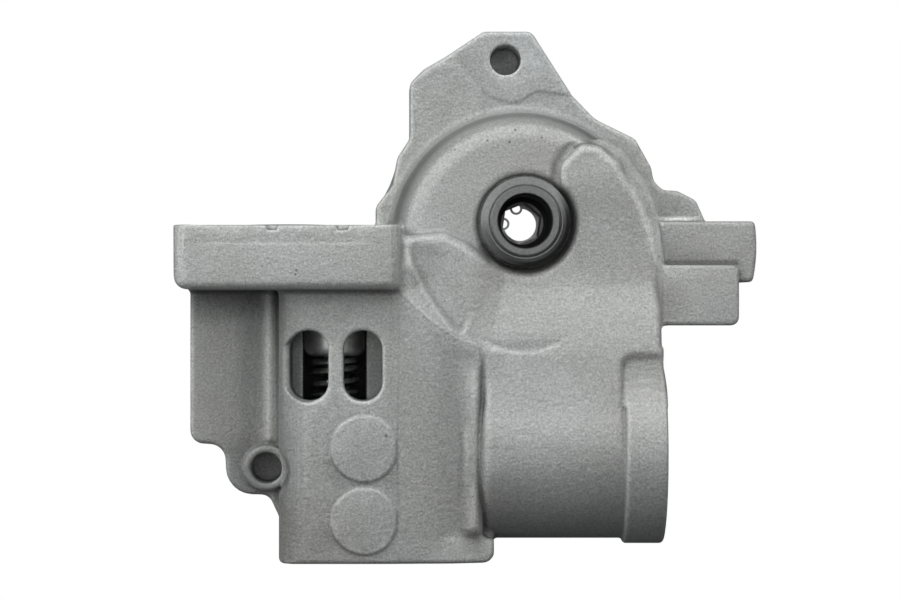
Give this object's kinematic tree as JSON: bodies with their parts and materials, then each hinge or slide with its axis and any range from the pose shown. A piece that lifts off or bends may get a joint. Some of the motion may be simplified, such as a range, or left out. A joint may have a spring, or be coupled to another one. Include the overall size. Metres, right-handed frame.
{
  "type": "engine oil pump",
  "caption": "Gerotor engine oil pump in a cast aluminium housing, with hollow hexagon-drive shaft, relief valve block, suction tube, pressure flange and stepped mounting arm.",
  "frame": {"origin": "centre of the drive shaft's rear bore, in the plane of the rear face on which the pump lies", "axes": "+Z along the drive shaft towards its front end, +Y towards the pressure flange's face, +X towards the suction tube's mouth"},
  "size_m": [0.1666, 0.1535, 0.066],
  "materials": {
    "cast_aluminium": "shot-blasted die casting, matt grey",
    "machined_aluminium": "turned",
    "shaft_steel": "hardened, turned, dull",
    "ground_steel": "ground bright",
    "plain_steel": "turned",
    "sintered_steel": "sintered, faced by grinding",
    "black_steel": "black oxide",
    "spring_steel": "oil-blackened",
    "bronze": "bored",
    "seal_rubber": "smooth"
  },
  "bodies": {
    "root": {"pump_housing": "cast_aluminium", "rotor_cover": "machined_aluminium", "cover_screws": "black_steel", "cover_dowels": "ground_steel", "housing_bush": "shaft_steel", "cover_bush": "bronze", "relief_spring": "spring_steel", "relief_spring_seat": "plain_steel", "relief_plug": "plain_steel", "relief_plug_oring": "seal_rubber", "relief_circlip": "spring_steel", "gallery_plug": "plain_steel", "inlet_seal": "seal_rubber", "outlet_seal": "seal_rubber"},
    "shaft": {"drive_shaft": "shaft_steel", "rotor_key": "ground_steel", "inner_rotor": "sintered_steel", "shaft_stop_ring": "spring_steel"},
    "ring": {"outer_rotor": "sintered_steel"},
    "valve": {"relief_piston": "ground_steel"}
  },
  "joints": [
    {"name": "shaft_spin", "type": "hinge", "parent": "root", "child": "shaft", "pos_m": [0, 0, 0], "axis": [0, 0, 1], "continuous": true},
    {"name": "ring_spin", "type": "hinge", "parent": "root", "child": "ring", "pos_m": [0, -0.0039, 0], "axis": [0, 0, 1], "continuous": true},
    {"name": "relief_slide", "type": "slide", "parent": "root", "child": "valve", "axis": [0, -1, 0], "range_m": [0, 0.009], "stiffness_N_per_m": 6900, "springref_m": -0.0145, "deforming": ["relief_spring"]}
  ],
  "couplings": [
    {"joint": "ring_spin", "follows": "shaft_spin", "ratio": 0.8}
  ]
}
